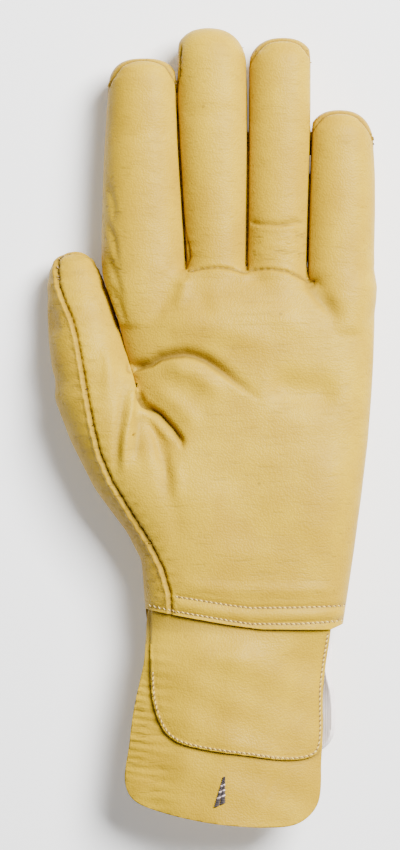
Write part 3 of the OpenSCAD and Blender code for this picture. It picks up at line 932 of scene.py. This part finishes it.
cuff = {"halfFlat": 19.5, "openFlat": 12.7, "openAngle": 42, "round": 16, "middle": 11.9, "top": -69.6,
        "bottom": -118.2, "girth": 44.4, "rightGirth": 38.0, "corner": 9, "leather": 1.1, "lining": 0.8,
        "flat": (0.0824, 0.0486), "cell": 0.9, "tuckStep": 1.35, "ripple": 0.12,
        "leanY": [-118, -113, -108, -101.5, -93.6, -80, -72.7, -66],
        "lean": [1.0, 0.4, 0.3, 0.6, 1.6, 1.6, 2.0, 2.0]}
elastic = {"cells": (76, 10), "wave": 0.22, "rows": (-64.4, -62.0, -59.6), "left": -6, "right": 32,
           "low": -66, "high": -58, "floor": 1.45, "thickness": 0.8, "rib": 2.2}


def soften(points):
    for step in range(2):                        # corner cutting, which turns the outline into a curve
        cutPoints = []
        for a, b in zip(points, points[1:] + points[:1]):
            cutPoints.append((0.75 * a[0] + 0.25 * b[0], 0.75 * a[1] + 0.25 * b[1]))
            cutPoints.append((0.25 * a[0] + 0.75 * b[0], 0.25 * a[1] + 0.75 * b[1]))
        points = cutPoints
    return points


def cutSheet(outline, cell):
    xs, ys = [p[0] for p in outline], [p[1] for p in outline]
    width, length = max(xs) - min(xs) + 2 * cell, max(ys) - min(ys) + 2 * cell
    bm = bmesh.new()
    bmesh.ops.create_grid(bm, x_segments=round(width / cell), y_segments=round(length / cell), size=0.5)
    bmesh.ops.scale(bm, vec=(width, length, 1), verts=bm.verts[:])
    bmesh.ops.translate(bm, vec=((max(xs) + min(xs)) / 2, (max(ys) + min(ys)) / 2, 0), verts=bm.verts[:])
    edge = soften(outline)
    co = np.array([v.co[:] for v in bm.verts])
    d, side, run = pathDistance(edge + edge[:1], co[:, 0], co[:, 1])
    for v, height in zip(bm.verts, d * side):    # outside the outline the sheet stands above the cut
        v.co.z = height
    geom = bm.verts[:] + bm.edges[:] + bm.faces[:]
    bmesh.ops.bisect_plane(bm, geom=geom, dist=1e-6, plane_co=(0, 0, 0), plane_no=(0, 0, 1), clear_outer=True)
    return bm


def flapHeight(x, y):
    t = np.clip(np.abs((x - 12) / 36.5), 0, 0.99)
    tuck = 13.1 + 16 * (1 - t ** 2.9) ** (1 / 2.9)                   # under the hem it follows the wrist
    arch = flap["crown"] - (x - flap["crownX"]) ** 2 / (2 * flap["archRadius"])
    z = tuck + (arch - tuck) * smoothStep(-69, -85, y)
    free = smoothStep(-72, -84, y)
    for height, cx, wide, cy, long in flap["dents"]:
        z += free * height * np.exp(-((x - cx) / wide) ** 2 - ((y - cy) / long) ** 2)
    z += 0.8 * smoothStep(-21, -31, x) * smoothStep(-86, -100, y)
    z += 0.6 * np.sin(x / 8.5 + 0.6) * smoothStep(-124, -142, y)
    z += free * 0.35 * np.sin(0.31 * x + 0.17 * y) * np.sin(0.12 * x - 0.23 * y)
    gathered = hump(x + 26.5, 4.6) * smoothStep(-84, -92, y) * (1 - smoothStep(-122, -130, y))
    z += gathered * (0.36 * waves(y, 2.9, 0.25 * x) + 0.14 * waves(y, 1.8, -0.4 * x))
    z += free * 0.16 * hump(x + 19, 5) * waves(y, 4.1, 0.12 * x)
    crease = hump(x - 22 - 0.4 * (y + 128), 1.3) * smoothStep(-122, -126, y) * (1 - smoothStep(-132, -137, y))
    return z - free * 0.3 * crease


def patchHeight(x, y):
    d, side, run = pathDistance(soften(flap["patch"]), x, y)
    edgeDip = -0.25 * hump(d - 1.3, 0.6) + 0.35 * (1 - hump(d, 9))
    return flapHeight(x, y) + flap["patchThickness"] + flap["patchGap"] + edgeDip * smoothStep(-74, -82, y)


# painted shadow: the flap's colour darkens beside the patch's edge and under the hem
def patchShade(x, y):                            # the flap is darker along the patch's edge and under the hem
    d, side, run = pathDistance(soften(flap["patch"])[4:], x, y)
    beside = 0.75 * hump(d * side - 0.3, 0.9) * smoothStep(-76, -82, y) * (x < 39)
    return beside + 0.8 * smoothStep(-74.5, -70, y)


def smoothSheet(bm, name):
    for f in bm.faces:
        f.smooth = True
    surface = BVHTree.FromBMesh(bm)
    return meshObject(name, bm), surface


def layOut(bm, name, heightOf, deepAt=None):
    co = np.array([v.co[:] for v in bm.verts])
    x, y = co[:, 0], co[:, 1]
    z = heightOf(x, y)
    deep = bm.verts.layers.float.new("deep")
    wrinkled = bm.verts.layers.float.new("wrinkled")
    # painted shade from the given function, kept in a vertex attribute that darkens the leather's colour
    dark = deepAt(x, y) if deepAt else np.zeros(len(x))
    lined = hump(x + 26, 6) * smoothStep(-84, -92, y)
    for v, a, b, c, d, w in zip(bm.verts, x, y, z, dark, lined):
        v.co = Vector((a, b, c)) * mm
        v[deep] = d
        v[wrinkled] = w
    bmesh.ops.recalc_face_normals(bm, faces=bm.faces[:])
    if sum(f.normal.z for f in bm.faces) < 0:
        bmesh.ops.reverse_faces(bm, faces=bm.faces[:])
    return smoothSheet(bm, name)


def troughPoint(s, y, inward):                   # where a point s along the girth lies in the bent cuff
    tucked = 1 - smoothStep(-71.2, -75.5, y)     # its top end lies inside the end of the back
    inward = inward + cuff["tuckStep"] * tucked
    opened = smoothStep(-74, -97, y) * (s > 0)   # the right wall opens outwards towards its end
    flat = cuff["halfFlat"] + (cuff["openFlat"] - cuff["halfFlat"]) * opened
    limit = math.pi / 2 + (math.radians(cuff["openAngle"]) - math.pi / 2) * opened
    r = cuff["round"] - inward
    angle = np.clip((np.abs(s) - flat) / cuff["round"], 0, limit)
    beyond = np.clip(np.abs(s) - flat - cuff["round"] * limit, 0, None)
    x = np.sign(s) * (np.minimum(np.abs(s), flat) + r * np.sin(angle) + beyond * np.cos(limit))
    z = cuff["round"] - r * np.cos(angle) + beyond * np.sin(limit)
    t = np.clip((-71.4 - y) / 46.6, 0, 1)
    x = cuff["middle"] - 0.7 * t + x * (1 + 0.02 * t)
    lean = np.interp(y, cuff["leanY"], cuff["lean"]) * (z / cuff["round"]) ** 2
    return np.where(s > 0, x - lean, x + 0.6 * lean), z


def bendTrough(name, inward, turned):
    left, right, top, bottom = -cuff["girth"], cuff["rightGirth"], cuff["top"], cuff["bottom"]
    corner = cuff["corner"]
    cut = 0.35 * corner
    outline = [(left, top), (left, bottom + corner), (left + cut, bottom + cut), (left + corner, bottom),
               (right - corner, bottom), (right - cut, bottom + cut), (right, bottom + corner), (right, top)]
    bm = cutSheet(outline, cuff["cell"])
    co = np.array([v.co[:] for v in bm.verts])
    y = co[:, 1]
    x, z = troughPoint(co[:, 0], y, inward)
    z = z + cuff["ripple"] * np.sin(0.5 * y + 0.11 * x) * smoothStep(-73, -78, y) * (z > 3)
    for v, a, b, c in zip(bm.verts, x, y, z):
        v.co = Vector((a, b, c)) * mm
    if turned:
        bmesh.ops.reverse_faces(bm, faces=bm.faces[:])
    return smoothSheet(bm, name)


def elasticHeight(x, y):
    return elastic["floor"] + elastic["thickness"] + elastic["wave"] * waves(x, elastic["rib"])


# painted shade: the patch's colour darkens towards its top, under the hem
def patchHemShade(x, y):
    return 0.55 * smoothStep(-75.5, -70.5, y)


arteryFlap, flapSurface = layOut(cutSheet(flap["outline"], flap["cell"]), "arteryFlap", flapHeight,
                                 patchShade)
thicken(arteryFlap, flap["thickness"], leather, fleshSide)
flapPatch, patchSurface = layOut(cutSheet(flap["patch"], flap["cell"]), "flapPatch", patchHeight, patchHemShade)
thicken(flapPatch, flap["patchThickness"], leather, fleshSide)
backCuff = bendTrough("backCuff", 0.0, True)[0]
thicken(backCuff, cuff["leather"], backLeather, liningKnit, 1)
cuffLining, liningSurface = bendTrough("cuffLining", cuff["leather"] + cuff["lining"] + 0.05, False)
thicken(cuffLining, cuff["lining"], liningKnit, liningKnit)

bm = bmesh.new()
left, right, low, high = (elastic[k] for k in ("left", "right", "low", "high"))
bmesh.ops.create_grid(bm, x_segments=elastic["cells"][0], y_segments=elastic["cells"][1], size=0.5)
bmesh.ops.scale(bm, vec=(right - left, high - low, 1), verts=bm.verts[:])
bmesh.ops.translate(bm, vec=((right + left) / 2, (low + high) / 2, 0), verts=bm.verts[:])
wristElastic, elasticSurface = layOut(bm, "wristElastic", elasticHeight)
thicken(wristElastic, elastic["thickness"], elasticKnit, elasticKnit)
print("flap, patch, cuff and elastic made")


# ---- sewing ----

sewing = {
    "hemUpper": [(-13.2, -60.8), (-4, -62.2), (6.7, -63.9), (13.9, -64.8), (30, -64.7), (48.2, -64.3)],
    "hemLower": [(-22.8, -64.0), (-14.6, -65.8), (-4, -67.6), (6.7, -69.4), (13.9, -70.5), (30, -70.6),
                 (47.4, -69.6)],
    "pitch": 1.72, "length": 1.36, "width": 0.5, "turn": -24, "patchInset": 0.8, "patchMiddle": (9, -90),
    "holeLength": 1.15, "holeWidth": 0.5, "sight": 0.08, "cuffY": -115.2, "cuffReach": 34,
}


# the same bead also makes the dark beads of painted hole shadow
def bead(bm, at, along, across, up, segments, slot):     # one bead of thread, given its three half axes
    matrix = Matrix((along, across, up)).transposed().to_4x4()
    u, v = segments
    made = bmesh.ops.create_uvsphere(bm, u_segments=u, v_segments=v, radius=1,
                                     matrix=Matrix.Translation(at) @ matrix)
    for f in {f for v in made["verts"] for f in v.link_faces}:
        f.material_index = slot
        f.smooth = True


def sewRow(bm, points, surface, size, direction=-1, holes=True):
    pitch, turn = size["pitch"], math.radians(size["turn"])
    parts = [(0.0, turn, size["length"] / 2, size["width"] / 2, 0.1, 0)]
    # a dark bead half a pitch on: painted shadow of the needle hole
    if holes:
        parts.append((pitch / 2, turn * 1.9, size["width"] * size["holeLength"],
                      size["width"] * size["holeWidth"], 0.02, 1))
    total = sum(math.dist(a, b) for a, b in zip(points, points[1:]))
    count = int(total / pitch)
    for step in range(count):
        target = (step + 0.5) * total / count
        for a, b in zip(points, points[1:]):
            length = math.dist(a, b)
            if target <= length:
                break
            target -= length
        at = Vector(a).lerp(Vector(b), target / length)
        eye = Vector((at.x * mm, at.y * mm, -direction * size["sight"]))
        hit, normal, face, far = surface.ray_cast(eye, Vector((0, 0, direction)))
        if hit is None:
            continue
        if normal.z * direction > 0:
            normal = -normal
        run = Vector((b[0] - a[0], b[1] - a[1], 0)).normalized()
        across = normal.cross(run).normalized()
        run = across.cross(normal).normalized()
        for shift, angle, half, thin, lift, slot in parts:
            along = run * math.cos(angle) + across * math.sin(angle)
            place = hit + run * shift * mm + normal * lift * mm
            thin = thin * mm
            bead(bm, place, along * half * mm, normal.cross(along) * thin, normal * thin, (8, 5), slot)


def threadPiece(bm, name, materials, node):
    bmesh.ops.recalc_face_normals(bm, faces=bm.faces[:])
    obj = meshObject(name, bm)
    for material in materials:
        obj.data.materials.append(material)
    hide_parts(node)
    return obj


def sewPiece(name, rows):
    bm = bmesh.new()
    for points, surface, size, more in rows:
        sewRow(bm, points, surface, size, **more)
    return threadPiece(bm, name, (sewingThread, needleHole), nodeOf(name))


hemStitchesUpper = sewPiece("hemStitchesUpper", [(sewing["hemUpper"], handSurface, sewing, {})])
hemStitchesLower = sewPiece("hemStitchesLower", [(sewing["hemLower"], handSurface, sewing, {})])
patchMiddle = Vector(sewing["patchMiddle"])
inset = [Vector(p) for p in soften(flap["patch"])]
inset = [tuple(p + (patchMiddle - p).normalized() * sewing["patchInset"]) for p in inset]
inset = [p for p in inset if p[1] < (-72.5 if p[0] > 0 else -86)]
patchStitches = sewPiece("patchStitches", [(inset, patchSurface, sewing, {})])
elasticRows = [[(elastic["left"], y), (elastic["right"], y)] for y in elastic["rows"]]
elasticSize = dict(sewing, turn=0, length=1.9, pitch=2.4)
elasticStitches = sewPiece("elasticStitches", [(row, elasticSurface, elasticSize, {}) for row in elasticRows]
                           + [(row, handSurface, elasticSize, {"direction": 1}) for row in elasticRows])
cuffY, cuffReach = sewing["cuffY"], sewing["cuffReach"]
girths = np.linspace(-cuffReach, cuffReach, 30)
cuffRow = [(float(x), cuffY) for x in troughPoint(girths, np.full(len(girths), cuffY), 1.9)[0]]
cuffStitches = sewPiece("cuffStitches", [(cuffRow, liningSurface, dict(sewing, turn=0, width=0.42),
                                          {"holes": False})])

button = {"top": (4.5, -125.0), "bottom": (2.9, -135.2), "wraps": 15, "topWidth": 0.9, "bottomWidth": 4.3,
          "turn": 24,
          "thick": 0.62, "lift": 0.28, "offset": 0.25, "halfShare": 0.29, "pale": (4, 7, 10)}


def sewButtonhole():
    bm = bmesh.new()
    a, b = Vector(button["top"]), Vector(button["bottom"])
    turn = math.radians(button["turn"])
    thick = button["thick"] * mm
    for i in range(button["wraps"]):
        t = (i + 0.5) / button["wraps"]
        wide = button["topWidth"] + (button["bottomWidth"] - button["topWidth"]) * t ** 1.15
        for side in (-1, 1):
            centre = a.lerp(b, t) + Vector((1, math.tan(turn))) * side * button["offset"] * wide
            eye = Vector((centre.x * mm, centre.y * mm, sewing["sight"]))
            hit, normal, face, far = flapSurface.ray_cast(eye, Vector((0, 0, -1)))
            along = Vector((math.cos(turn), math.sin(turn), 0))
            along = (along - normal * along.dot(normal)).normalized()
            half = wide * button["halfShare"] * mm
            bead(bm, hit + normal * button["lift"] * mm, along * half, normal.cross(along) * thick * 0.62,
                 normal * thick,
                 (10, 7), int(i in button["pale"]))
    return threadPiece(bm, "buttonholeThread", (darkThread, paleThread), "buttonhole_thread")


buttonholeThread = sewButtonhole()
print("sewing done")

for obj, slot in ((arteryFlap, "palm_leather"), (flapPatch, "palm_leather"), (backCuff, "back_leather"),
                  (cuffLining, "lining"), (wristElastic, "elastic")):
    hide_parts(nodeOf(obj.name))
for obj in (arteryFlap, flapPatch, patchStitches):
    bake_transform(obj)
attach(buttonholeThread, "flap")
for obj in (backCuff, cuffLining, wristElastic, hemStitchesUpper, hemStitchesLower, elasticStitches,
            cuffStitches):
    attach(obj, "hand")
